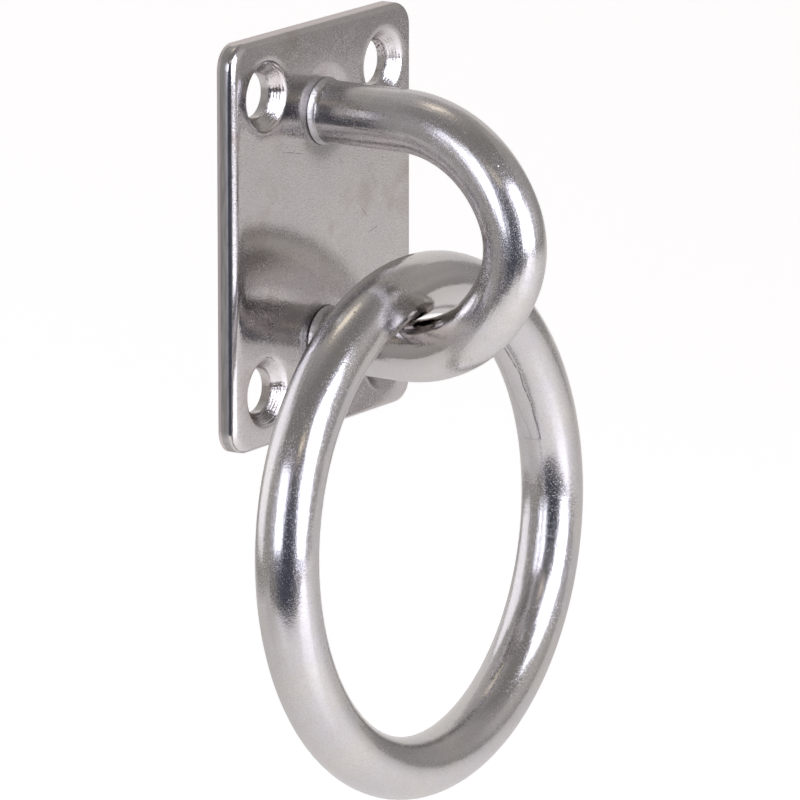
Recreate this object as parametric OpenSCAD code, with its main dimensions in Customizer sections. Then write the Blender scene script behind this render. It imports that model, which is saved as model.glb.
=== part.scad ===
// Mooring ring on a screw plate. A stamped plate with four countersunk holes carries a
// bow bent from round bar, welded through it from behind, and a closed ring hangs in the bow.
//
// The origin is the centre of the plate's back face, which lies on the wall.
// +X runs to the right along the plate, +Z is up, and the bow reaches out along -Y.

/* [Plate] */
// Width of the plate
plate_w = 40.4; // [36:0.1:60]
// Height of the plate
plate_h = 52.2; // [50:0.1:80]
// Thickness of the plate
plate_t = 2.8; // [2.2:0.1:5]
// Radius of the plate's corners
corner_r = 3.1; // [2.2:0.1:6]
// Radius of the rounding along the plate's front edge
edge_r = 1.2; // [0.4:0.1:1.8]
// How far the flat faces cut into that rounding, which leaves a fine crease on each side
edge_crease = 0.02; // [0.01:0.01:0.05]

/* [Screw holes] */
// Diameter of the screw holes
screw_hole_d = 5.8; // [4.5:0.1:6.5]
// Diameter of a countersink at its rim
csk_d = 9.2; // [8.4:0.1:10.6]
// Full angle of the countersink's cone
csk_angle = 82; // [60:1:100]
// Radius of the rounded lip between the cone and the front face
csk_lip_r = 1.2; // [0.4:0.1:1.6]
// Slope of the lip where it leaves the front face
csk_lip_slope = 15; // [5:1:30]
// Distance from a screw hole's centre to the plate's side
hole_from_side = 6.85; // [6:0.05:9]
// Distance from a screw hole's centre to the plate's top or bottom
hole_from_end = 7.2; // [6:0.1:8]

/* [Bow] */
// Diameter of the bar that the bow is bent from
bow_bar_d = 8; // [6:0.1:10]
// Distance between the centres of the bow's two legs
leg_pitch = 29.4; // [26:0.1:31]
// Length of a leg, from the wall to where the bar starts to bend
leg_l = 14.8; // [12:0.1:30]
// Centreline radius of the tight bend at the crown
crown_r = 11.4; // [9:0.1:14]
// Angle that each wider shoulder bend turns before the crown begins
shoulder_turn = 68; // [45:1:80]
// Height of the bow's middle above the plate's middle
bow_up = 0.25; // [-1:0.05:1]
// How far the flare at a leg's root stands out from the bar
flare = 0.34; // [0.1:0.02:0.6]
// Length of bar that the flare covers
flare_l = 1.6; // [1:0.1:3]
// How far the flare's arc cuts into the bar, so that the two meet along a fine crease
flare_crease = 0.005; // [0.002:0.001:0.01]

/* [Ring] */
// Diameter of the bar that the ring is bent from
ring_bar_d = 8; // [6:0.1:10]
// Inside diameter of the ring
ring_inner_d = 53.8; // [46:0.1:80]
// Angle by which the ring's bottom hangs out from plumb
ring_lean = 2.1; // [0:0.1:8]
// How far past the start of the lower leg's bend the ring's bar lies
hang_past_bend = 1.5; // [0:0.1:4]

/* [Fits and welds] */
// Gap between the ring's bar and the leg that it hangs on
ring_gap = 0.3; // [0.1:0.05:0.5]
// Radial clearance of a leg in its hole through the plate
leg_clearance = 0.1; // [0.05:0.05:0.3]
// Gap between a leg's flare and the plate's front face
seam = 0.05; // [0.02:0.01:0.2]
// Width of the weld's face beyond the leg hole, at the back of the plate
weld_w = 1.2; // [0.5:0.1:2]
// Depth of the weld's chamfer from the back of the plate
weld_depth = 1.4; // [0.6:0.1:2]

/* [Hidden] */
// Facets of a full circle in the preview
$fn = 96;
// Overshoot of a cutting tool past the face that it cuts
over = 0.5;

bow_bar_r = bow_bar_d / 2;
ring_bar_r = ring_bar_d / 2;
screw_hole_r = screw_hole_d / 2;
leg_hole_r = bow_bar_r + leg_clearance;

// Half sizes of the plate, up to the centres of its corners
corner_x = plate_w / 2 - corner_r;
corner_y = plate_h / 2 - corner_r;
// How far the plate's middle reaches into its rim
rim_lap = (corner_r - edge_r) / 2;
// Places of the screw holes
hole_x = plate_w / 2 - hole_from_side;
hole_y = plate_h / 2 - hole_from_end;

// The lip's arc runs from the rim to the cone, and leaves the cone without a crease
csk_r = csk_d / 2;
cone_slope = 90 - csk_angle / 2;
cone_top_r = csk_r - csk_lip_r * (sin(cone_slope) - sin(csk_lip_slope));
cone_top_depth = csk_lip_r * (cos(csk_lip_slope) - cos(cone_slope));
cone_foot_depth = cone_top_depth + (cone_top_r - screw_hole_r) * tan(cone_slope);

// The shoulder bends join the legs to the crown without a kink
leg_y = leg_pitch / 2;
shoulder_r = (leg_y - crown_r * cos(shoulder_turn)) / (1 - cos(shoulder_turn));
shoulder_in = leg_y - shoulder_r;
crown_out = leg_l + (shoulder_r - crown_r) * sin(shoulder_turn);
half_turn = 180;

// Radius of the hollow arc that, turned round the leg, makes the flare
flare_depth = flare + flare_crease;
flare_arc_r = (flare_l * flare_l + flare_depth * flare_depth) / (2 * flare_depth);

// The ring's bar lies across the lower leg, the gap away from it also where the leg bends
ring_r = ring_inner_d / 2 + ring_bar_r;
bars_apart = bow_bar_r + ring_bar_r + ring_gap;
hang_out = leg_l + hang_past_bend;
hang_climb = shoulder_r - sqrt(pow(shoulder_r - bars_apart, 2) - pow(hang_past_bend, 2));
hang_up = bow_up - leg_y + hang_climb;

// Sets a shape drawn with x right, y up and z out of the wall into the part's frame
module on_wall() {
  rotate([90, 0, 0]) children();
}

// Sets a flat outline, drawn with x up and y out of the wall, upright on the wall
module upright() {
  rotate([90, 0, 90]) children();
}

// Section of the plate's rim, from a corner's centre line out to the edge
module rim_section() {
  intersection() {
    square([corner_r, plate_t]);
    union() {
      square([corner_r - edge_r, plate_t]);
      square([corner_r, plate_t - edge_r]);
      translate([corner_r - edge_r, plate_t - edge_r]) translate([edge_crease, edge_crease]) circle(edge_r);
    }
  }
}

// Straight stretch of rim along x, with its edge towards +y
module rim_bar(length) {
  translate([-length / 2, 0, 0]) rotate([90, 0, 90]) linear_extrude(length) rim_section();
}

module plate_blank() {
  linear_extrude(plate_t) square([2 * (corner_x + rim_lap), 2 * (corner_y + rim_lap)], center = true);
  for (side = [0, 1]) {
    rotate(180 * side) translate([0, corner_y, 0]) rim_bar(2 * corner_x);
    rotate(90 + 180 * side) translate([0, corner_x, 0]) rim_bar(2 * corner_y);
    mirror([side, 0, 0]) for (end = [0, 1]) mirror([0, end, 0])
      translate([corner_x, corner_y, 0]) rotate_extrude(angle = 90) rim_section();
  }
}

// Air in a countersunk hole, turned round its axis: depth is measured from the front face
module screw_hole() {
  translate([0, 0, plate_t]) mirror([0, 0, 1]) rotate_extrude() difference() {
    polygon([
      [0, -over],
      [csk_r, -over],
      [csk_r, 0],
      [cone_top_r, cone_top_depth],
      [screw_hole_r, cone_foot_depth],
      [screw_hole_r, plate_t + over],
      [0, plate_t + over]
    ]);
    translate([csk_r + csk_lip_r * sin(csk_lip_slope), csk_lip_r * cos(csk_lip_slope)]) circle(csk_lip_r);
  }
}

// Through hole for a leg, with its weld chamfer at the back
module leg_hole() {
  translate([0, 0, -over]) cylinder(r = leg_hole_r, h = plate_t + 2 * over);
  weld_chamfer();
}

module weld_chamfer() {
  cylinder(r1 = leg_hole_r + weld_w, r2 = leg_hole_r, h = weld_depth);
}

module plate() {
  color("silver") on_wall() difference() {
    plate_blank();
    for (x = [-hole_x, hole_x], y = [-hole_y, hole_y]) translate([x, y, 0]) screw_hole();
    for (y = [-leg_y, leg_y]) translate([0, bow_up + y, 0]) leg_hole();
  }
}

// Moves a shape by v, as a round step and a fine one, so that the ends of two bends meet exactly
module shift(v) {
  coarse = [for (step = v) round(step * 1000) / 1000];
  translate(coarse) translate(v - coarse) children();
}

// Bar bent round a centre, from one angle to another
module bend(centre, radius, from, to) {
  shift(centre) rotate_extrude(angle = to - from, start = from) shift([radius, 0]) circle(bow_bar_r);
}

// Leg with the flare at its root, which stops short of the plate
module leg() {
  cylinder(r = bow_bar_r, h = leg_l);
  translate([0, 0, plate_t + seam]) rotate_extrude() difference() {
    square([bow_bar_r + flare, flare_l]);
    translate([bow_bar_r - flare_crease + flare_arc_r, flare_l]) circle(flare_arc_r);
  }
}

module bow() {
  color("gainsboro") on_wall() translate([0, bow_up, 0]) {
    for (y = [-leg_y, leg_y]) translate([0, y, 0]) leg();
    upright() {
      bend([shoulder_in, leg_l], shoulder_r, 0, shoulder_turn);
      bend([0, crown_out], crown_r, shoulder_turn, half_turn - shoulder_turn);
      bend([-shoulder_in, leg_l], shoulder_r, half_turn - shoulder_turn, half_turn);
    }
  }
}

// Filler metal in the chamfer round a leg, ground flush with the back of the plate
module weld() {
  difference() {
    weld_chamfer();
    translate([0, 0, -over]) cylinder(r = bow_bar_r, h = weld_depth + 2 * over);
  }
}

module upper_weld() {
  color("darkgray") on_wall() translate([0, bow_up + leg_y, 0]) weld();
}

module lower_weld() {
  color("darkgray") on_wall() translate([0, bow_up - leg_y, 0]) weld();
}

module ring() {
  color("lightgray") on_wall() translate([0, hang_up, hang_out]) rotate([-ring_lean, 0, 0])
    translate([0, -ring_r, 0]) rotate_extrude() translate([ring_r, 0]) circle(ring_bar_r);
}

plate();
bow();
upper_weld();
lower_weld();
ring();
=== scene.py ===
"""Looks of the mooring ring: polished stainless steel above a pale table, in soft studio light."""

import math

import bpy
from mathutils import Matrix, Vector


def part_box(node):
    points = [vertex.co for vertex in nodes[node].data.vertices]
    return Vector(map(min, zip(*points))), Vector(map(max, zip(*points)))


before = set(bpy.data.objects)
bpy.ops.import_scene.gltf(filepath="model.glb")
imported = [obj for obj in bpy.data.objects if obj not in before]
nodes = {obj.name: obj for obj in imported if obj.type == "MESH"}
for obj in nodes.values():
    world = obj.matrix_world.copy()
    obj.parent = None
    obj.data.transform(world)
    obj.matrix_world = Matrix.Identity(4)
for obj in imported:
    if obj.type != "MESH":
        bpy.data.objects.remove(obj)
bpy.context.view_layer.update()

MM = 0.001

# Sizes of the plate, as in the CAD
PLATE_W = 40.4 * MM
PLATE_H = 52.2 * MM
PLATE_T = 2.8 * MM
CORNER_R = 3.1 * MM
EDGE_R = 1.2 * MM
CSK_R = 4.6 * MM
# Middles of the plate's corners, where the rounding along its edge starts, and the screw holes
CORNER_X = PLATE_W / 2 - CORNER_R
CORNER_Z = PLATE_H / 2 - CORNER_R
EDGE_START = PLATE_T - EDGE_R
HOLE_X = PLATE_W / 2 - 6.85 * MM
HOLE_Z = PLATE_H / 2 - 7.2 * MM

# The bow's legs stand this far above and below its middle, which lies a little above the plate's
LEG_HALF_PITCH = 14.7 * MM
BOW_UP = 0.25 * MM
# The legs are straight up to this distance from the wall, and then bend by about this radius
BOW_BEND_Y = -14.8 * MM
BOW_BEND_R = 15.5 * MM
# Place of the seam between a leg's flare and the plate
SEAM_Y = -PLATE_T - 0.05 * MM

RING_R = 30.9 * MM
# How far the ring's bottom hangs out from plumb, in degrees
RING_LEAN = 2.1
# Where the ring rests on the bow
CONTACT = Vector((0, -16.4, -10.1)) * MM

OUT_OF_WALL = Vector((0, -1, 0))
RIGHT = Vector((1, 0, 0))


# Camera and placing


# The point that the camera and the lights are laid out round, in the bow's eye
MIDDLE = Vector((0, -20, -20)) * MM

CAMERA_AZIMUTH = -57.325
CAMERA_ELEVATION = 12.881
CAMERA_DISTANCE = 1.10798
# The camera points a little to the left of the middle, as in the photo
AIM_LEFT = 0.00454
AIM_UP = -0.00027
SENSOR = 36
FOCAL_LENGTH = 395.99


def direction(azimuth, elevation):
    """Unit vector from the object towards an azimuth (0 in front, 90 along +X) and an elevation."""
    a, e = math.radians(azimuth), math.radians(elevation)
    return Vector((math.sin(a) * math.cos(e), -math.cos(a) * math.cos(e), math.sin(e)))


def facing(back):
    """Rotation whose local +Z is back and whose local +X is level."""
    right = Vector((0, 0, 1)).cross(back).normalized()
    return Matrix((right, back.cross(right), back)).transposed()


def place(name, data, position, back):
    made = bpy.data.objects.new(name, data)
    made.matrix_world = Matrix.Translation(position) @ facing(back).to_4x4()
    bpy.context.scene.collection.objects.link(made)
    return made


def add_camera():
    back = direction(CAMERA_AZIMUTH, CAMERA_ELEVATION)
    straight = facing(back)
    right, up = straight.col[0], straight.col[1]
    data = bpy.data.cameras.new("camera")
    data.sensor_width = SENSOR
    data.lens = FOCAL_LENGTH
    aimed_back = (back + AIM_LEFT * right - AIM_UP * up).normalized()
    made = place("camera", data, MIDDLE + CAMERA_DISTANCE * back, aimed_back)
    bpy.context.scene.camera = made


# Light, table and room


TABLE_Z = -0.157
# The table's front edge faces this azimuth, and its edges lie this far from the object
TABLE_AZIMUTH = -74
TABLE_FRONT = 0.262
TABLE_RIGHT = 0.8
TABLE_BACK = 2.6
TABLE_LEFT = 0.36
GROUND_REACH = 8
# The ground lies this far above the table, so that the camera sees it first
GROUND_LIFT = 0.2 * MM
TABLE_WHITES = ((0.84, 0.815, 0.79), (0.88, 0.86, 0.835))
# Colour of the patch of painted shade on the table
TABLE_PAINTED_SHADE = (0.1, 0.1, 0.1)
# Colour of the glow painted onto the table as light
TABLE_PAINTED_GLOW = (1.0, 0.985, 0.985)
GROUND_WHITES = ((0.85, 0.85, 0.85), (0.87, 0.87, 0.87))
# Azimuth and distance of the middle of a pool of light painted onto the table as glow, towards the key
# light, and its reach
PAINTED_POOL_SPOT = (-5, 0.25, 0.5)
# Azimuth and distance of a patch of painted shade far to the right on the table, and its reach
PAINTED_SHADE_SPOT = (63, 1.12, 0.29)

# Each panel of light as the object sees it: azimuth and elevation of its middle, width and height
# in degrees, brightness, colour and distance in metres
PANELS = {
    "key_softbox": (-7.5, 16.5, 37, 45, 4.0, (0.92, 0.94, 1.1), 0.9),
    "side_softbox": (-90.7, 13.5, 28.5, 33, 2.8, (0.92, 0.94, 1.1), 1.1),
    "left_softbox": (-171, 13.5, 42, 46, 1.0, (0.96, 0.955, 1.04), 1.3),
    "right_wall": (126, 19, 66, 50, 0.36, (1.0, 0.98, 0.97), 1.6),
    "ceiling_lamp": (147, 79, 18, 11, 1.25, (1.0, 0.88, 0.68), 1.6),
    "small_warm_lamp": (-53, 36, 8, 6, 1.7, (1.0, 0.86, 0.66), 1.6),
}

ROOM = (0.275, 0.262, 0.256)
# Soft glows of the room: azimuth, elevation, reach in degrees, and the brightness that each adds
GLOWS = {
    "back_of_room": (150, 28, 80, (0.22, 0.215, 0.21)),
    "beside_key": (27, 12, 26, (0.3, 0.29, 0.285)),
    "right_of_room": (58, 31, 32, (0.16, 0.155, 0.15)),
    "right_horizon": (60, -6, 30, (0.1, 0.097, 0.095)),
    "left_of_room": (-135, 5, 40, (0.16, 0.155, 0.15)),
    "high_back": (155, 48, 22, (0.08, 0.077, 0.075)),
    "ceiling": (165, 82, 28, (0.07, 0.067, 0.062)),
}
# Dim bluish space behind the camera and in front of the table: azimuth, elevation, reach and depth
SHADE = (-62, -8, 48, 0.84)
SHADE_COLOUR = (0.025, 0.034, 0.07)
BACKDROP = (1.0, 1.0, 1.0)


def add_panels():
    for name, (azimuth, elevation, width, height, brightness, colour, distance) in PANELS.items():
        data = bpy.data.lights.new(name, "AREA")
        data.shape = "RECTANGLE"
        data.size = 2 * distance * math.tan(math.radians(width / 2))
        data.size_y = 2 * distance * math.tan(math.radians(height / 2))
        data.energy = brightness * data.size * data.size_y * math.pi
        data.color = colour
        back = direction(azimuth, elevation)
        place(name, data, MIDDLE + distance * back, back)


def add_table():
    """The pale table, and level with it a wide ground that only the camera sees."""
    table = pale_sheet("table", TABLE_FRONT, TABLE_RIGHT, TABLE_BACK, TABLE_LEFT, TABLE_Z, table_white())
    ground = pale_sheet("ground", *[GROUND_REACH] * 4, TABLE_Z + GROUND_LIFT, ground_white())
    ground.visible_glossy = False
    ground.visible_diffuse = False
    ground.visible_shadow = False


def pale_sheet(name, front, right, back, left, z, material):
    ahead = direction(TABLE_AZIMUTH, 0)
    rightward = direction(TABLE_AZIMUTH + 90, 0)
    corners = [
        ahead * along + rightward * across + Vector((0, 0, z))
        for along, across in ((front, -left), (front, right), (-back, right), (-back, -left))
    ]
    mesh = bpy.data.meshes.new(name)
    mesh.from_pydata(corners, [], [(0, 1, 2, 3)])
    mesh.materials.append(material)
    made = bpy.data.objects.new(name, mesh)
    bpy.context.scene.collection.objects.link(made)
    return made


def add_room():
    """A dim warm grey room with a few soft glows. The camera itself sees a pale backdrop."""
    world = bpy.data.worlds.new("room")
    bpy.context.scene.world = world
    world.use_nodes = True
    g = Graph(world.node_tree)
    towards = g.new("ShaderNodeTexCoord").outputs["Generated"]
    light = ROOM
    for azimuth, elevation, reach, colour in GLOWS.values():
        light = g.mix(glow(g, towards, azimuth, elevation, reach), light, g.mix(1.0, light, colour, "ADD"))
    azimuth, elevation, reach, depth = SHADE
    light = g.mix(g.times(glow(g, towards, azimuth, elevation, reach), depth), light, SHADE_COLOUR)
    room, seen = g.new("ShaderNodeBackground"), g.new("ShaderNodeBackground")
    g.fill(room, Color=light)
    g.fill(seen, Color=BACKDROP)
    either = g.new("ShaderNodeMixShader")
    g.fill(either, Fac=g.new("ShaderNodeLightPath").outputs["Is Camera Ray"])
    g.put(either.inputs[1], room.outputs[0])
    g.put(either.inputs[2], seen.outputs[0])
    g.fill(g.new("ShaderNodeOutputWorld"), Surface=either.outputs[0])


def glow(g, towards, azimuth, elevation, reach):
    """1 straight at a place in the room, falling softly to 0 at its reach."""
    closeness = g.measure("DOT_PRODUCT", towards, direction(azimuth, elevation))
    return g.ramp(closeness, math.cos(math.radians(reach)), 1.0)


# Building node trees


class Graph:
    """Short hand for building a node tree. Most methods return an output socket."""

    def __init__(self, tree):
        self.tree = tree
        tree.nodes.clear()

    def new(self, kind, **settings):
        node = self.tree.nodes.new(kind)
        for key, value in settings.items():
            setattr(node, key, value)
        return node

    def put(self, socket, value):
        """Links a socket to a socket, or sets it to a number, a vector or a colour."""
        if isinstance(value, bpy.types.NodeSocket):
            self.tree.links.new(value, socket)
        elif socket.type == "RGBA":
            socket.default_value = (*value, 1)
        else:
            socket.default_value = value

    def fill(self, node, **values):
        """Puts values into a node's inputs. An underscore stands for the space in an input's name."""
        for key, value in values.items():
            self.put(node.inputs[key.replace("_", " ")], value)

    def math(self, operation, a, b=0.0):
        node = self.new("ShaderNodeMath", operation=operation)
        self.put(node.inputs[0], a)
        self.put(node.inputs[1], b)
        return node.outputs[0]

    def add(self, a, b):
        return self.math("ADD", a, b)

    def subtract(self, a, b):
        return self.math("SUBTRACT", a, b)

    def divide(self, a, b):
        return self.math("DIVIDE", a, b)

    def times(self, product, *factors):
        for factor in factors:
            product = self.math("MULTIPLY", product, factor)
        return product

    def without(self, mask):
        """1 where the mask is 0, and 0 where it is 1."""
        return self.subtract(1.0, mask)

    def blend(self, factor, a, b):
        """Number that runs from a to b as the factor runs from 0 to 1."""
        return self.add(self.times(a, self.without(factor)), self.times(b, factor))

    def vector(self, operation, a, b=(0.0, 0.0, 0.0)):
        """Vector maths that gives a vector."""
        return self.vector_node(operation, a, b).outputs["Vector"]

    def measure(self, operation, a, b=(0.0, 0.0, 0.0)):
        """Vector maths that gives a number."""
        return self.vector_node(operation, a, b).outputs["Value"]

    def vector_node(self, operation, a, b):
        node = self.new("ShaderNodeVectorMath", operation=operation)
        self.put(node.inputs[0], a)
        self.put(node.inputs[1], b)
        return node

    def scaled(self, arrow, factor):
        node = self.new("ShaderNodeVectorMath", operation="SCALE")
        self.put(node.inputs[0], arrow)
        self.fill(node, Scale=factor)
        return node.outputs["Vector"]

    def parts(self, vector):
        node = self.new("ShaderNodeSeparateXYZ")
        self.put(node.inputs[0], vector)
        return node.outputs[0], node.outputs[1], node.outputs[2]

    def join(self, x, y, z):
        node = self.new("ShaderNodeCombineXYZ")
        self.fill(node, X=x, Y=y, Z=z)
        return node.outputs[0]

    def to_world(self, arrow):
        kinds = {"vector_type": "VECTOR", "convert_from": "OBJECT", "convert_to": "WORLD"}
        node = self.new("ShaderNodeVectorTransform", **kinds)
        self.put(node.inputs[0], arrow)
        return node.outputs[0]

    def noise(self, vector, size_mm, detail=2.0, rough=0.5, distortion=0.0):
        node = self.new("ShaderNodeTexNoise")
        self.fill(node, Vector=vector, Scale=1 / (size_mm * MM), Detail=detail)
        self.fill(node, Roughness=rough, Distortion=distortion)
        return node.outputs["Fac"]

    def spots(self, vector, spacing_mm, size, empty):
        """Scattered round spots: 1 inside a spot, 0 outside. The share of cells left empty is empty."""
        node = self.new("ShaderNodeTexVoronoi")
        self.fill(node, Vector=vector, Scale=1 / (spacing_mm * MM))
        lot = self.parts(node.outputs["Color"])[0]
        spot = self.ramp(node.outputs["Distance"], 2 * size, size)
        return self.times(spot, self.math("GREATER_THAN", lot, empty))

    def ramp(self, value, low, high, to_low=0.0, to_high=1.0, shape="SMOOTHSTEP"):
        node = self.new("ShaderNodeMapRange", interpolation_type=shape, clamp=True)
        self.fill(node, Value=value, From_Min=low, From_Max=high, To_Min=to_low, To_Max=to_high)
        return node.outputs["Result"]

    def mix(self, factor, a, b, blend="MIX"):
        node = self.new("ShaderNodeMix", data_type="RGBA", blend_type=blend)
        sockets = {socket.identifier: socket for socket in (*node.inputs, *node.outputs)}
        self.put(sockets["Factor_Float"], factor)
        self.put(sockets["A_Color"], a)
        self.put(sockets["B_Color"], b)
        return sockets["Result_Color"]

    def curve(self, value, points):
        """Smooth curve through points whose two numbers run from 0 to 1."""
        node = self.new("ShaderNodeFloatCurve")
        line = node.mapping.curves[0]
        line.points[0].location, line.points[-1].location = points[0], points[-1]
        for point in points[1:-1]:
            line.points.new(*point)
        for point in line.points:
            point.handle_type = "AUTO_CLAMPED"
        node.mapping.update()
        self.fill(node, Value=value)
        return node.outputs[0]

    def bumps(self, normal, *layers):
        """The normal with bumps over it, each a height and a depth in mm. None is the plain normal."""
        for height, depth_mm in layers:
            node = self.new("ShaderNodeBump")
            self.fill(node, Height=height, Distance=depth_mm * MM)
            if normal is not None:
                self.fill(node, Normal=normal)
            normal = node.outputs[0]
        return normal


def new_material(name):
    """A material with one shader, its node graph and the place of each surface point on the object."""
    material = bpy.data.materials.new(name)
    material.use_nodes = True
    g = Graph(material.node_tree)
    shader = g.new("ShaderNodeBsdfPrincipled")
    g.fill(g.new("ShaderNodeOutputMaterial"), Surface=shader.outputs[0])
    return material, g, shader, g.new("ShaderNodeTexCoord").outputs["Object"]


def take_over(g, shader, key, *layers):
    """Lays values over what feeds the shader's input, each by a factor that varies over the surface."""
    socket = shader.inputs[key]
    value = socket.links[0].from_socket if socket.links else socket.default_value
    laid_over = g.mix if socket.type == "RGBA" else g.blend
    for factor, layer in layers:
        value = laid_over(factor, value, layer)
    g.put(socket, value)


def leaned_out(g, normal, amount):
    """The normal, leaned out of the wall by an amount that varies over the surface."""
    lean = g.to_world(g.scaled(OUT_OF_WALL, amount))
    return g.vector("NORMALIZE", g.vector("ADD", normal, lean))


def from_nearest_axis(g, here, half_x, half_z, up=0.0):
    """Arrow to here from the nearest of the axes at +-half_x and +-half_z, and its length."""
    x, _, z = g.parts(g.vector("SUBTRACT", here, (0.0, 0.0, up)))
    aside = g.subtract(x, g.times(g.math("SIGN", x), half_x))
    above = g.subtract(z, g.times(g.math("SIGN", z), half_z))
    arrow = g.join(aside, 0.0, above)
    return arrow, g.measure("LENGTH", arrow)


# Table and ground


def table_white():
    """Glossy pale board with painted light: it glows brighter towards the key light and far off, and one
    patch of painted shade dims it.
    """
    material, g, shader, here = new_material("table_white")
    grain = g.noise(here, 1.5, detail=4)
    # Painted light: the table glows as if lit by a pool from the key light, and glows more far off
    from_painted_pool, painted_pool_reach = from_spot(g, here, PAINTED_POOL_SPOT)
    painted_key_pool = g.ramp(from_painted_pool, painted_pool_reach, 0.06, 0.08, 0.46)
    painted_far_glow = g.ramp(g.measure("LENGTH", here), 0.3, 0.65, 0.0, 0.19)
    # Painted shade: a dark patch on the table, which also dims its glow
    from_painted_shade, painted_shade_reach = from_spot(g, here, PAINTED_SHADE_SPOT)
    painted_shade = g.ramp(from_painted_shade, painted_shade_reach, painted_shade_reach / 2, 0.0, 0.8)
    g.fill(
        shader,
        Base_Color=g.mix(painted_shade, g.mix(grain, *TABLE_WHITES), TABLE_PAINTED_SHADE),
        Roughness=g.ramp(grain, 0.3, 0.7, 0.24, 0.28),
        Emission_Color=TABLE_PAINTED_GLOW,
        Emission_Strength=g.times(g.add(painted_key_pool, painted_far_glow), g.without(painted_shade)),
    )
    return material


def from_spot(g, here, spot):
    """Distance from here to a spot on the table, and the spot's reach."""
    azimuth, distance, reach = spot
    middle = direction(azimuth, 0) * distance + Vector((0, 0, TABLE_Z))
    return g.measure("DISTANCE", here, middle), reach


def ground_white():
    material, g, shader, here = new_material("ground_white")
    g.fill(
        shader,
        Base_Color=g.mix(g.noise(here, 1.5, detail=4), *GROUND_WHITES),
        Roughness=0.9,
        Emission_Color=(1.0, 1.0, 1.0),
        Emission_Strength=0.46,
    )
    return material


# Bow and ring


STEEL_WARM = (0.575, 0.552, 0.53)
STEEL_GREY = (0.4, 0.385, 0.38)
STEEL_BRIGHT = (0.85, 0.835, 0.83)
STEEL_RUBBED = (0.62, 0.594, 0.578)
# Colour of the painted shade in the seam at a leg's root
SEAM_PAINTED_SHADE = (0.05, 0.045, 0.045)
WELD_MARK = (0.16, 0.145, 0.14)

# How each bar is finished: shift of its pattern, two colours, least and most roughness, and depth
# of its drawn bands in mm
BOW_FINISH = ((0.0, 0.0, 0.0), ((0.62, 0.602, 0.622), (0.64, 0.62, 0.597)), (0.2, 0.245), 0.055)
RING_FINISH = ((0.31, 0.17, 0.53), ((0.59, 0.572, 0.59), (0.615, 0.596, 0.573)), (0.16, 0.205), 0.008)

# How many times longer than wide the drawing marks, dents and rubbed patches are
DRAWN_LENGTH = 14.0
DENT_LENGTH = 1.4
RUBBED_LENGTH = 2.5
# The bars have polished each other within the first distance of their contact, fading to the second
POLISHED_REACH = 5.5 * MM
POLISHED_FADE = 10.5 * MM

# The flare at a leg's root shows as a bright band next to the seam, this wide, with painted shade in the
# seam
ROOT_BAND = 1.1 * MM
ROOT_TILT = 1.45

# The ring's ground butt weld, by angle from the bottom of the ring towards +X, in degrees
WELD_TURN = 103.0
WELD_END = 138.0
# Half widths in degrees of the bold and the thin line along the bar, and of the line across it
BOLD_LINE = 1.9
THIN_LINE = 1.0
CROSS_LINE = 0.28


def round_a_bend(g, here, centre, out, across, turned_r):
    """Place along, out from and across a bar bent round a centre, and the bar's own direction."""
    reach = g.vector("SUBTRACT", here, centre)
    ahead = g.measure("DOT_PRODUCT", reach, out)
    aside = g.measure("DOT_PRODUCT", reach, across.cross(out))
    over = g.measure("DOT_PRODUCT", reach, across)
    along = g.times(g.math("ARCTAN2", aside, ahead), turned_r)
    radius = g.math("SQRT", g.add(g.times(ahead, ahead), g.times(aside, aside)))
    return along, radius, over, g.vector("CROSS_PRODUCT", reach, across)


def ring_course(g, here):
    low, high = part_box("ring")
    lean = math.radians(RING_LEAN)
    down = Vector((0, -math.sin(lean), -math.cos(lean)))
    return round_a_bend(g, here, (low + high) / 2, down, RIGHT.cross(down), RING_R)


def bow_course(g, here):
    centre = Vector((0, BOW_BEND_Y, BOW_UP))
    along, radius, over, course = round_a_bend(g, here, centre, OUT_OF_WALL, RIGHT, BOW_BEND_R)
    _, y, z = g.parts(here)
    height = g.subtract(z, BOW_UP)
    # A leg runs straight on from the quarter turn where its bend ends
    leg_along = g.add(g.subtract(y, BOW_BEND_Y), BOW_BEND_R * math.pi / 2)
    on_leg = g.math("GREATER_THAN", y, BOW_BEND_Y)
    along = g.blend(on_leg, along, g.times(leg_along, g.math("SIGN", height)))
    radius = g.blend(on_leg, radius, g.math("ABSOLUTE", height))
    return along, radius, over, g.mix(on_leg, course, (0.0, 1.0, 0.0))


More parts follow.
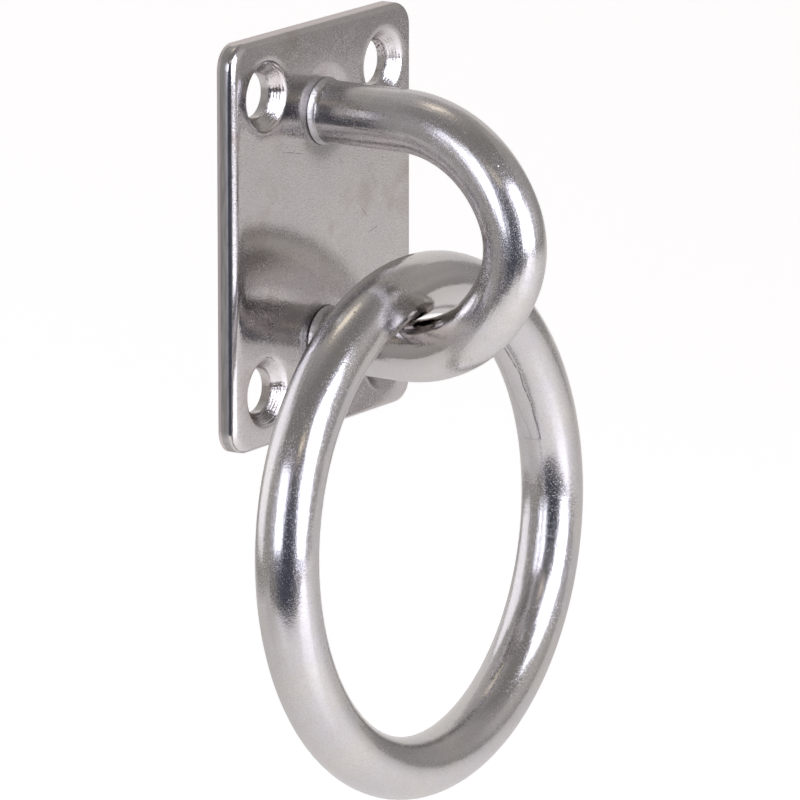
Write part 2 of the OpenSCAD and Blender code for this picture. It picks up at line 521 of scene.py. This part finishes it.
def polished_bar(name, course_of, finish):
    """Bright drawn bar, nearly a mirror, with fine marks along it, grain, flecks, dents and pits."""
    grain_shift, colours, roughness, band_depth = finish
    material, g, shader, here = new_material(name)
    along, radius, over, course = course_of(g, here)
    spot = g.vector("ADD", here, grain_shift)
    drawn, dented, rubbed = [
        g.join(g.divide(along, length), radius, over)
        for length in (DRAWN_LENGTH, DENT_LENGTH, RUBBED_LENGTH)
    ]
    polished = g.ramp(g.measure("DISTANCE", here, CONTACT), POLISHED_FADE, POLISHED_REACH)
    grain = g.noise(spot, 0.28, rough=0.6)
    grime = g.noise(spot, 2.2, detail=4, rough=0.65)
    dull = g.ramp(g.noise(rubbed, 3.0, detail=4, rough=0.62), 0.5, 0.72)
    fine = g.noise(spot, 0.135, detail=1)
    crowd = g.times(g.ramp(g.noise(spot, 3.4), 0.3, 0.75, 0.3, 0.9), g.without(polished))
    fleck = g.times(g.ramp(fine, 0.61, 0.7), crowd)
    speck = g.times(g.ramp(fine, 0.39, 0.3), crowd)
    g.fill(
        shader,
        Metallic=1.0,
        Base_Color=g.mix(g.ramp(g.noise(spot, 8, detail=3), 0.35, 0.65), *colours),
        Roughness=g.add(g.ramp(grain, 0.35, 0.7, *roughness), g.times(dull, 0.05)),
        Anisotropic=0.5,
        Anisotropic_Rotation=0.25,
        Tangent=g.to_world(course),
        Normal=g.bumps(
            None,
            (g.noise(dented, 3.2, detail=1), 0.07),
            (g.noise(drawn, 0.8), band_depth),
            (g.noise(drawn, 0.16, rough=0.6), 0.006),
            (grain, 0.011),
            (fleck, 0.006),
            (g.without(g.spots(spot, 2.1, 0.05, 0.7)), 0.03),
        ),
    )
    take_over(
        g,
        shader,
        "Base Color",
        (g.ramp(grime, 0.4, 0.62, 0.0, 0.4), STEEL_WARM),
        (g.ramp(grain, 0.3, 0.6, 0.25, 0.0), STEEL_GREY),
        (g.times(speck, 0.45), STEEL_GREY),
        (g.times(fleck, 0.4), STEEL_BRIGHT),
        (g.times(polished, 0.6), STEEL_RUBBED),
    )
    take_over(g, shader, "Roughness", (polished, 0.055), (g.times(fleck, 0.85), 0.43))
    take_over(g, shader, "Anisotropic", (polished, 0.0))
    return material, g, shader, here, (along, radius, over)


def bow_steel():
    """The bow's bar, with hand-dressed roots where the flares meet the plate, and painted shade in the
    seam.
    """
    material, g, shader, here, _ = polished_bar("bow_bar", bow_course, BOW_FINISH)
    x, y, z = g.parts(here)
    _, _, leg_z = g.parts(from_nearest_axis(g, here, 0.0, LEG_HALF_PITCH, BOW_UP)[0])
    off_plate = g.math("LESS_THAN", y, -PLATE_T)
    root = g.ramp(y, SEAM_Y - ROOT_BAND, SEAM_Y - 0.25 * ROOT_BAND, shape="LINEAR")
    root = g.times(root, off_plate)
    scuffs = g.noise(g.join(x, g.divide(y, 5.0), z), 0.18)
    below_top = g.ramp(leg_z, 3.9 * MM, 2.4 * MM, 0.25, 1.0)
    dressed = g.times(root, g.ramp(scuffs, 0.3, 0.62, 0.5, 1.0), below_top)
    normal = shader.inputs["Normal"].links[0].from_socket
    g.fill(shader, Normal=leaned_out(g, normal, g.times(dressed, ROOT_TILT)))
    # Painted shade in the seam: all round the lower leg, and on the upper leg most of all below
    seam_shade_share = g.math("MAXIMUM", g.ramp(leg_z, 2.0 * MM, -1.5 * MM, 0.25, 1.0), g.math("LESS_THAN", z, 0.0))
    dirt_and_painted_shade = g.times(g.ramp(y, SEAM_Y - 0.17 * MM, SEAM_Y - 0.04 * MM), seam_shade_share, off_plate)
    scuffed = g.times(root, g.ramp(scuffs, 0.55, 0.35, 0.0, 0.55))
    take_over(g, shader, "Base Color", (scuffed, STEEL_GREY), (dirt_and_painted_shade, SEAM_PAINTED_SHADE))
    take_over(g, shader, "Roughness", (g.math("MINIMUM", g.times(root, 1.6), 1.0), 0.46))
    take_over(g, shader, "Anisotropic", (root, 0.0))
    return material


def ring_steel():
    """The ring's bar, with hairlines on the inside where its butt weld was ground down."""
    material, g, shader, here, course = polished_bar("ring_bar", ring_course, RING_FINISH)
    along, radius, over = course
    turn = g.times(along, -math.degrees(1 / RING_R))
    # Angle round the bar from its inner side, towards the wall, with a slight wobble
    inner = g.math("DEGREES", g.math("ARCTAN2", over, g.subtract(RING_R, radius)))
    inner = g.add(inner, g.ramp(g.noise(here, 3.5), 0.2, 0.8, -2.0, 2.0))
    past = g.subtract(turn, WELD_TURN)
    on_weld = g.times(g.math("GREATER_THAN", past, 0.0), g.math("LESS_THAN", turn, WELD_END))
    from_bold = g.add(inner, g.ramp(past, 0.0, 15.0, 18.5, 14.0))
    from_thin = g.subtract(inner, g.ramp(past, 0.0, 12.0, 0.0, 18.0))
    broken = g.ramp(g.noise(here, 0.6), 0.35, 0.5, 0.25, 1.0)
    bold = g.times(hairline(g, from_bold, BOLD_LINE), on_weld, broken)
    thin = g.times(hairline(g, from_thin, THIN_LINE), on_weld, 0.5)
    across = g.times(hairline(g, past, CROSS_LINE), g.ramp(g.math("ABSOLUTE", inner), 20.0, 17.0))
    mark = g.math("MAXIMUM", g.times(g.math("MAXIMUM", bold, thin), 0.8), g.times(across, 0.25))
    take_over(g, shader, "Base Color", (mark, WELD_MARK))
    take_over(g, shader, "Roughness", (mark, 0.4))
    return material


def hairline(g, distance, half_width):
    return g.ramp(g.math("ABSOLUTE", distance), half_width, half_width / 3)


# Plate


STEEL = (0.668, 0.643, 0.634)
STEEL_DULL = (0.63, 0.607, 0.606)
EDGE_TINT = (0.75, 0.74, 0.73)
STAIN = (0.535, 0.485, 0.455)
SIDE_COLOURS = ((0.39, 0.38, 0.38), (0.5, 0.49, 0.485))
# Colour of the painted highlight on the plate's side walls
RIM_PAINTED_HIGHLIGHT = (0.79, 0.72, 0.72)
MARK_COLOUR = (0.25, 0.24, 0.23)
# Colour of the painted shade below each leg's foot
BELOW_LEG_PAINTED_SHADE = (0.12, 0.11, 0.11)
LEG_SHADE = (0.12, 0.11, 0.115)
HEAT_TINT = (0.5, 0.38, 0.24)
# Colour of the dark reflection painted into the left cones
PAINTED_NOTCH_COLOUR = (0.1, 0.085, 0.075)
HOLE_DIRT = (0.1, 0.07, 0.055)

# Radius inside which the surface counts as the cone of a screw hole, and the edge of its bore
CONE_R = 4.1 * MM
BORE_R = 2.95 * MM
# How much the cones' normals lean out of the wall, and how far from a rim the face starts to sink
CONE_TILT = 0.22
HOLE_DISH = 1.0 * MM
# The face sinks round a leg from the first distance from its axis to the second
LEG_DISH_START = 6.4 * MM
LEG_DISH_END = 3.6 * MM
# Height from which the face rolls off, and the width of that strip
ROLL_Z = 20.5 * MM
ROLL_WIDTH = 4.0 * MM
# How far from a leg's axis the painted shade below it reaches
BELOW_LEG_SHADE_REACH = 7.0 * MM
# How the worn edge turns: distance run over the rounding from its start at the side, in mm, and
# the angle to the face
EDGE_TURN = (
    (-0.6, 90),
    (0.0, 70),
    (0.3, 52),
    (0.5, 41),
    (0.58, 31),
    (0.92, 25),
    (1.3, 9),
    (1.9, 3),
    (2.9, 0),
)
# Scratches on the plate's face, each from one point to another, with x and z in mm
SCRATCHES = (
    ((2.9, 9.0), (3.7, 7.1)),
    ((3.2, 8.6), (4.1, 7.6)),
    ((-5.4, 10.4), (-9.6, 11.3)),
    ((8.5, 1.0), (9.6, -0.2)),
    ((-14.5, 3.2), (-16.0, 1.9)),
    ((-13.9, 2.9), (-15.1, 1.2)),
    ((9.9, -2.4), (11.9, -1.9)),
    ((-2.0, -5.5), (-1.2, -7.6)),
)
SCRATCH_WIDTH = 0.09 * MM


class PlateZones:
    """Measures on the plate, and masks that are 1 on one part of its surface and 0 elsewhere."""

    def __init__(self, g, here):
        self.x, self.y, self.z = g.parts(here)
        self.hole_arrow, self.from_hole = from_nearest_axis(g, here, HOLE_X, HOLE_Z)
        self.hole_x, _, self.hole_z = g.parts(self.hole_arrow)
        leg_arrow, self.from_leg = from_nearest_axis(g, here, 0.0, LEG_HALF_PITCH, BOW_UP)
        self.leg_x, _, self.leg_z = g.parts(leg_arrow)
        self.back = g.ramp(self.y, -0.06 * MM, -0.02 * MM)
        self.off_back = g.without(self.back)
        self.hole = g.times(g.ramp(self.from_hole, CONE_R + 0.1 * MM, CONE_R - 0.1 * MM), self.off_back)
        inside_rim = g.ramp(self.from_hole, CONE_R, CONE_R - 0.2 * MM)
        outside_bore = g.ramp(self.from_hole, BORE_R, BORE_R + 0.1 * MM)
        self.cone = g.times(inside_rim, outside_bore, self.off_back)
        off_hole = g.without(self.hole)
        self.side = g.times(g.ramp(self.y, -EDGE_START - 0.02 * MM, -EDGE_START + 0.1 * MM), off_hole)
        self.face = g.times(g.ramp(self.y, -PLATE_T + 0.15 * MM, -PLATE_T + 0.05 * MM), off_hole)


def worn_edge(g, zone, normal):
    """The normal, replaced along the plate's edge by one that turns more gently than the rounding."""
    past_x = g.math("MAXIMUM", g.subtract(g.math("ABSOLUTE", zone.x), CORNER_X), 0.0)
    past_z = g.math("MAXIMUM", g.subtract(g.math("ABSOLUTE", zone.z), CORNER_Z), 0.0)
    arrow = g.join(g.times(past_x, g.math("SIGN", zone.x)), 0.0, g.times(past_z, g.math("SIGN", zone.z)))
    past_r = g.subtract(g.measure("LENGTH", arrow), CORNER_R - EDGE_R)
    past_y = g.subtract(g.times(zone.y, -1.0), EDGE_START)
    around = g.math("ARCTAN2", g.math("MAXIMUM", past_y, 0.0), g.math("MAXIMUM", past_r, 0.0))
    run = g.add(g.times(around, EDGE_R), g.math("MINIMUM", past_y, 0.0))
    run = g.subtract(run, g.math("MINIMUM", past_r, 0.0))
    first, last = EDGE_TURN[0][0], EDGE_TURN[-1][0]
    share = g.divide(g.subtract(g.divide(run, MM), first), last - first)
    turn = g.curve(share, [((at - first) / (last - first), angle / 90) for at, angle in EDGE_TURN])
    turn = g.times(turn, math.pi / 2)
    outward = g.scaled(g.vector("NORMALIZE", arrow), g.math("SINE", turn))
    worn = g.vector("ADD", outward, g.scaled(OUT_OF_WALL, g.math("COSINE", turn)))
    there = g.times(
        g.ramp(share, 0.0, 0.03),
        g.ramp(share, 1.0, 0.97),
        g.ramp(zone.y, -0.3 * MM, -0.5 * MM),
        g.ramp(zone.from_hole, CSK_R, CSK_R + 0.15 * MM),
    )
    return g.vector("NORMALIZE", g.mix(there, normal, g.to_world(worn)))


def scratch(g, here, start, end):
    """1 along a straight scratch on the plate's face, 0 beside it."""
    first = Vector((start[0], 0, start[1])) * MM
    span = Vector((end[0], 0, end[1])) * MM - first
    reach = g.vector("MULTIPLY", g.vector("SUBTRACT", here, first), (1.0, 0.0, 1.0))
    share = g.measure("DOT_PRODUCT", reach, span / span.length_squared)
    nearest = g.scaled(span, g.math("MINIMUM", g.math("MAXIMUM", share, 0.0), 1.0))
    return g.ramp(g.measure("DISTANCE", reach, nearest), SCRATCH_WIDTH, SCRATCH_WIDTH / 3)


def pits_and_scratches(g, here, zone):
    marks = g.spots(here, 3.4, 0.025, 0.5)
    for start, end in SCRATCHES:
        marks = g.math("MAXIMUM", marks, g.times(scratch(g, here, start, end), 0.55))
    return g.times(marks, zone.face)


def plate_normal(g, here, zone, grain, fleck, marks, tooth):
    """Slightly uneven face with worn edges and dishes, turned cones and a brushed back."""
    roll = g.math("MAXIMUM", g.subtract(g.math("ABSOLUTE", zone.z), ROLL_Z), 0.0)
    roll = g.divide(roll, ROLL_WIDTH)
    near_hole = g.ramp(zone.from_hole, CSK_R + HOLE_DISH, CSK_R, shape="LINEAR")
    near_leg = g.times(
        g.ramp(zone.from_leg, LEG_DISH_START, LEG_DISH_END),
        g.ramp(zone.leg_z, -1.0 * MM, 2.5 * MM, 0.15, 1.0),
    )
    # Grooves that the countersinking tool turned into the cones
    groove = g.noise(g.join(zone.from_hole, zone.y, 0.0), 0.28, rough=0.6)
    brushed = g.noise(g.join(g.divide(zone.x, 30.0), zone.y, zone.z), 0.12)
    normal = worn_edge(g, zone, g.bumps(None, (g.noise(here, 7, detail=1), 0.03)))
    normal = g.bumps(normal, (g.times(roll, roll, -1.0), 0.11))
    normal = leaned_out(g, normal, g.times(zone.cone, CONE_TILT))
    return g.bumps(
        normal,
        (g.times(near_hole, near_hole, -1.0), 0.05),
        (g.times(near_leg, -1.0), 0.2),
        (grain, 0.009),
        (fleck, 0.006),
        (g.without(marks), 0.02),
        (g.times(groove, zone.cone), 0.045),
        (g.times(tooth, zone.cone), 0.03),
        (g.times(brushed, zone.back), 0.008),
    )


def side_layers(g, zone):
    """Dull side walls, streaked where rubbed, with a painted highlight along the back and on top."""
    rubbing = g.noise(g.join(zone.x, zone.y, g.divide(zone.z, 9.0)), 0.35, detail=3)
    along_back = g.ramp(zone.y, -0.5 * MM, -0.35 * MM)
    on_top = g.ramp(zone.z, PLATE_H / 2 - 0.3 * MM, PLATE_H / 2 - 0.1 * MM)
    # Painted highlight: a pale pink band along the back of the side walls and over the top wall
    painted_highlight = g.times(g.math("MAXIMUM", along_back, on_top), zone.side, zone.off_back, 0.8)
    return (zone.side, g.mix(g.ramp(rubbing, 0.35, 0.65), *SIDE_COLOURS)), (painted_highlight, RIM_PAINTED_HIGHLIGHT)


def leg_layers(g, zone):
    """Painted shade below the foot of each leg and on its left, and a heat tint round it on the back."""
    below = g.divide(zone.leg_z, -BELOW_LEG_SHADE_REACH)
    # Painted shade: a dark halo below the foot of each leg
    dirt_and_painted_shade = g.times(
        g.ramp(zone.from_leg, BELOW_LEG_SHADE_REACH, 4.4 * MM),
        g.ramp(below, 0.0, 0.8, 0.0, 0.45),
        zone.face,
    )
    beside = g.times(
        g.ramp(zone.leg_x, 0.0, -1.5 * MM),
        g.ramp(zone.leg_z, -2.6 * MM, -0.8 * MM),
        g.ramp(zone.leg_z, 4.6 * MM, 2.8 * MM, 0.1, 1.0),
        g.ramp(zone.from_leg, 6.6 * MM, 5.4 * MM),
        zone.face,
        0.3,
    )
    tint = g.times(
        g.ramp(zone.from_leg, 9.5 * MM, 7.5 * MM),
        g.ramp(zone.from_leg, 5.2 * MM, 6.6 * MM),
        zone.back,
        0.55,
    )
    return (dirt_and_painted_shade, BELOW_LEG_PAINTED_SHADE), (beside, LEG_SHADE), (tint, HEAT_TINT)


def hole_layers(g, here, zone, tooth):
    """A dark notch of painted reflection in the cones on the left, and dirt on the edge of the upper right
    hole's bore.
    """
    angle = g.math("DEGREES", g.math("ARCTAN2", zone.hole_z, zone.hole_x))
    # Painted reflection: the dark room mirrored in the left cones, painted as a dark notch
    painted_notch = g.times(
        g.ramp(g.math("ABSOLUTE", g.subtract(angle, 4.0)), 7.0, 3.0),
        g.ramp(tooth, 0.35, 0.5),
        g.math("LESS_THAN", zone.x, 0.0),
        zone.cone,
        0.8,
    )
    dirt_and_painted_shade = g.times(
        g.math("GREATER_THAN", zone.x, 0.0),
        g.math("GREATER_THAN", zone.z, 0.0),
        g.ramp(zone.from_hole, BORE_R + 0.05 * MM, BORE_R),
        g.ramp(zone.hole_z, -0.5 * MM, 1.5 * MM, 0.2, 1.0),
        g.ramp(g.noise(here, 0.35), 0.54, 0.62),
    )
    return (painted_notch, PAINTED_NOTCH_COLOUR), (dirt_and_painted_shade, HOLE_DIRT)


def plate_steel():
    """Stamped sheet polished to a soft mirror, with flecks, pits, scratches and turned cones."""
    material, g, shader, here = new_material("plate_steel")
    zone = PlateZones(g, here)
    stain = g.ramp(g.noise(here, 6, detail=3, distortion=0.6), 0.52, 0.72)
    grain = g.noise(here, 0.26, rough=0.65)
    fine = g.noise(here, 0.15, detail=1)
    crowd = g.ramp(g.noise(here, 4), 0.3, 0.75, 0.3, 0.8)
    fleck = g.times(g.ramp(fine, 0.58, 0.68), crowd, zone.face)
    speck = g.times(g.ramp(fine, 0.42, 0.32), zone.face)
    marks = pits_and_scratches(g, here, zone)
    tooth = g.noise(here, 0.3)
    uneven = g.ramp(g.noise(here, 1.2, detail=3), 0.3, 0.6, 0.5, 1.0)
    dressed = g.times(g.ramp(zone.from_leg, 8.5 * MM, 4.5 * MM), uneven)
    g.fill(
        shader,
        Metallic=1.0,
        Specular_Tint=EDGE_TINT,
        Base_Color=g.mix(g.ramp(g.noise(here, 14, detail=3), 0.35, 0.65), STEEL_DULL, STEEL),
        Roughness=g.ramp(grain, 0.3, 0.75, 0.115, 0.16),
        Anisotropic=g.times(zone.cone, 0.6),
        Anisotropic_Rotation=0.25,
        Tangent=g.to_world(g.vector("CROSS_PRODUCT", zone.hole_arrow, (0.0, 1.0, 0.0))),
        Normal=plate_normal(g, here, zone, grain, fleck, marks, tooth),
    )
    take_over(
        g,
        shader,
        "Base Color",
        (g.times(stain, 0.7), STAIN),
        (g.ramp(grain, 0.3, 0.6, 0.4, 0.0), STEEL_GREY),
        (g.times(speck, 0.4), STEEL_GREY),
        (g.times(fleck, 0.5), STEEL_BRIGHT),
        *side_layers(g, zone),
        (g.times(marks, 0.6), MARK_COLOUR),
        *leg_layers(g, zone),
        *hole_layers(g, here, zone, tooth),
    )
    take_over(
        g,
        shader,
        "Roughness",
        (dressed, 0.3),
        (g.times(fleck, 0.8), 0.45),
        (zone.side, 0.3),
        (zone.hole, 0.2),
        (zone.back, 0.36),
    )
    return material


# Welds


FILLER_COLOURS = ((0.42, 0.4, 0.38), (0.55, 0.53, 0.51))


def ground_weld():
    """Filler ground flush: dull, with short grinding marks."""
    material, g, shader, here = new_material("ground_weld")
    marks = g.noise(here, 0.3, detail=3, rough=0.6)
    g.fill(
        shader,
        Metallic=1.0,
        Base_Color=g.mix(marks, *FILLER_COLOURS),
        Roughness=g.ramp(marks, 0.3, 0.7, 0.32, 0.48),
        Normal=g.bumps(None, (marks, 0.02)),
    )
    return material


def dress(node, material):
    slots = nodes[node].data.materials
    slots.clear()
    slots.append(material)


add_camera()
add_room()
add_panels()
add_table()
dress("plate", plate_steel())
dress("bow", bow_steel())
dress("ring", ring_steel())
filler = ground_weld()
dress("upper_weld", filler)
dress("lower_weld", filler)

bpy.context.scene.view_settings.view_transform = "Standard"
